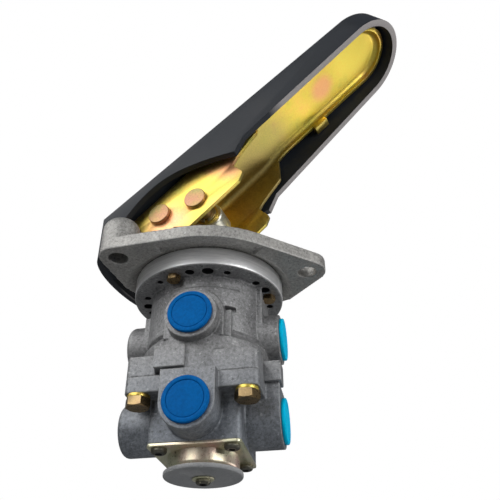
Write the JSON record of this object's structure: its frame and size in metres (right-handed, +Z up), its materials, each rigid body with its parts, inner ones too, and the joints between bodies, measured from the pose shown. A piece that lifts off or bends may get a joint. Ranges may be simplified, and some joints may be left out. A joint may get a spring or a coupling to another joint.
{
  "type": "foot brake valve",
  "caption": "Dual-circuit air brake valve with a long treadle pedal, an eared mounting plate, capped side ports and a flap-covered exhaust.",
  "frame": {"origin": "valve axis where it crosses the mounting face under the ears", "axes": "+Z up along the valve axis, +X towards the pedal's tip, +Y along the pedal's pivot pin; the valve body hangs below"},
  "size_m": [0.2356, 0.1464, 0.3506],
  "materials": {
    "plate_casting": "as cast, face machined",
    "body_casting": "sand cast, unpainted",
    "cover_plastic": "moulded, fine grain",
    "yellow_zinc": "zinc plated, yellow chromate",
    "pale_zinc": "zinc plated, pale chromate",
    "cap_blue": "moulded polyethylene",
    "black_rubber": "moulded",
    "bronze": "turned",
    "steel": "turned",
    "dark_steel": "blackened"
  },
  "bodies": {
    "housing": {"mounting_plate": "plate_casting", "pivot_bushes": "bronze", "plunger_guide_bush": "bronze", "plunger_boot": "black_rubber", "upper_body": "body_casting", "lower_body": "body_casting", "plate_seal": "black_rubber", "body_seal": "black_rubber", "body_bolts": "yellow_zinc", "body_spring_washers": "yellow_zinc", "flange_bolts": "yellow_zinc", "exhaust_plate": "pale_zinc", "exhaust_plate_screws": "dark_steel", "exhaust_flap": "black_rubber", "flap_washer": "pale_zinc", "flap_screw": "dark_steel", "flap_nut": "pale_zinc", "piston_return_spring": "steel", "primary_valve_guide": "steel", "primary_valve_spring": "steel", "secondary_valve_guide": "steel", "secondary_valve_spring": "steel", "guide_retaining_ring": "dark_steel"},
    "pedal": {"pedal_cover": "cover_plastic", "pedal_arm": "yellow_zinc", "pivot_pin": "yellow_zinc", "roller_pin": "yellow_zinc", "pin_end_clips": "dark_steel", "roller_clips": "dark_steel", "roller_washers": "yellow_zinc"},
    "roller": {"roller": "steel"},
    "plunger": {"plunger": "steel"},
    "primary_piston": {"primary_piston": "plate_casting", "primary_piston_seal": "black_rubber", "graduating_spring": "black_rubber"},
    "primary_valve": {"primary_valve": "steel"},
    "relay_piston": {"relay_piston": "plate_casting", "relay_piston_seal": "black_rubber"},
    "secondary_valve": {"secondary_valve": "steel"},
    "cap_upper_front": {"cap_upper_front": "cap_blue"},
    "cap_upper_right": {"cap_upper_right": "cap_blue"},
    "cap_lower_front": {"cap_lower_front": "cap_blue"},
    "cap_lower_right": {"cap_lower_right": "cap_blue"}
  },
  "joints": [
    {"name": "pedal_hinge", "type": "hinge", "parent": "housing", "child": "pedal", "pos_m": [-0.0275, 0, 0.056], "axis": [0, 1, 0], "range_deg": [0, 13], "stiffness_Nm_per_rad": 8, "springref_deg": -17.19},
    {"name": "roller_spin", "type": "hinge", "parent": "pedal", "child": "roller", "pos_m": [0.0007, 0, 0.062], "axis": [0, 1, 0], "continuous": true},
    {"name": "plunger_slide", "type": "slide", "parent": "housing", "child": "plunger", "axis": [0, 0, -1], "range_m": [0, 0.0067], "deforming": ["plunger_boot", "graduating_spring"]},
    {"name": "primary_piston_slide", "type": "slide", "parent": "housing", "child": "primary_piston", "axis": [0, 0, -1], "range_m": [0, 0.0042], "deforming": ["piston_return_spring"]},
    {"name": "primary_valve_slide", "type": "slide", "parent": "housing", "child": "primary_valve", "axis": [0, 0, -1], "range_m": [0, 0.0022], "deforming": ["primary_valve_spring"]},
    {"name": "relay_piston_slide", "type": "slide", "parent": "housing", "child": "relay_piston", "axis": [0, 0, -1], "range_m": [0, 0.0032]},
    {"name": "secondary_valve_slide", "type": "slide", "parent": "housing", "child": "secondary_valve", "axis": [0, 0, -1], "range_m": [0, 0.0017], "deforming": ["secondary_valve_spring"]},
    {"name": "cap_upper_front_pull", "type": "slide", "parent": "housing", "child": "cap_upper_front", "axis": [0.2079, -0.9781, 0], "range_m": [0, 0.012]},
    {"name": "cap_upper_right_pull", "type": "slide", "parent": "housing", "child": "cap_upper_right", "axis": [0.9781, 0.2079, 0], "range_m": [0, 0.012]},
    {"name": "cap_lower_front_pull", "type": "slide", "parent": "housing", "child": "cap_lower_front", "axis": [0.2079, -0.9781, 0], "range_m": [0, 0.012]},
    {"name": "cap_lower_right_pull", "type": "slide", "parent": "housing", "child": "cap_lower_right", "axis": [0.9781, 0.2079, 0], "range_m": [0, 0.012]}
  ],
  "couplings": [
    {"joint": "plunger_slide", "follows": "pedal_hinge", "m_per_rad": 0.0287},
    {"joint": "primary_piston_slide", "follows": "pedal_hinge", "m_per_rad": 0.0176},
    {"joint": "primary_valve_slide", "follows": "pedal_hinge", "m_per_rad": 0.0088},
    {"joint": "relay_piston_slide", "follows": "pedal_hinge", "m_per_rad": 0.0132},
    {"joint": "secondary_valve_slide", "follows": "pedal_hinge", "m_per_rad": 0.0066}
  ]
}
